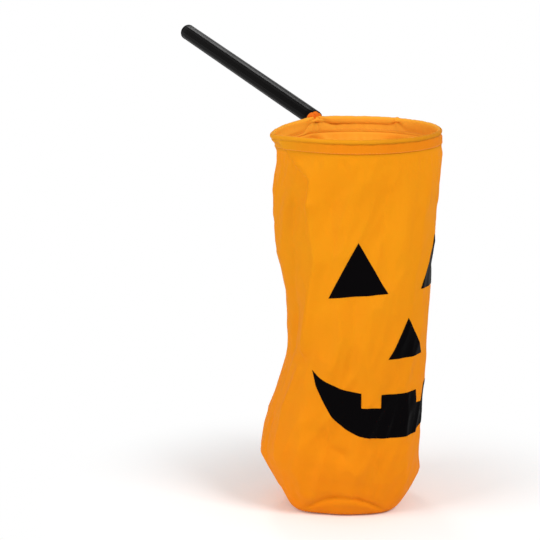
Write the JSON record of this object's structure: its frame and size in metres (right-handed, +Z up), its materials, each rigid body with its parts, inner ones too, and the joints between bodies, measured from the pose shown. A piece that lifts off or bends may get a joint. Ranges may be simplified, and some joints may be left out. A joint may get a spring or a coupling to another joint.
{
  "type": "pumpkin candy net",
  "caption": "Orange cloth bag with a black cut-out pumpkin face, hung on a cased wire hoop that is carried by a slanted black tube handle.",
  "frame": {"origin": "the grip: on the handle's axis, near the middle of the tube's length", "axes": "+Z up, +Y along the handle in plan and away from the bag, +X to the right when looking along +Y"},
  "size_m": [0.1627, 0.4313, 0.4062],
  "materials": {
    "tube": "satin",
    "plug": "matte",
    "wire": "drawn",
    "cloth": "woven, slight sheen",
    "film": "gloss",
    "thread": "spun"
  },
  "bodies": {
    "net": {"handle_tube": "tube", "handle_end_cap": "tube", "wire_plug": "plug", "hoop_wire": "wire", "hem_casing": "cloth", "casing_gather": "cloth", "front_panel": "cloth", "back_panel": "cloth", "left_eye": "film", "right_eye": "film", "nose": "film", "mouth": "film", "hem_stitching": "thread", "left_seam_stitching": "thread", "right_seam_stitching": "thread"},
    "bag_base": {"base_panel": "cloth", "base_stitching": "thread"}
  },
  "joints": [
    {"name": "bag_collapse", "type": "slide", "parent": "net", "child": "bag_base", "axis": [0, 0, 1], "range_m": [0, 0.3], "deforming": ["front_panel", "back_panel", "left_eye", "right_eye", "nose", "mouth", "left_seam_stitching", "right_seam_stitching"]}
  ]
}
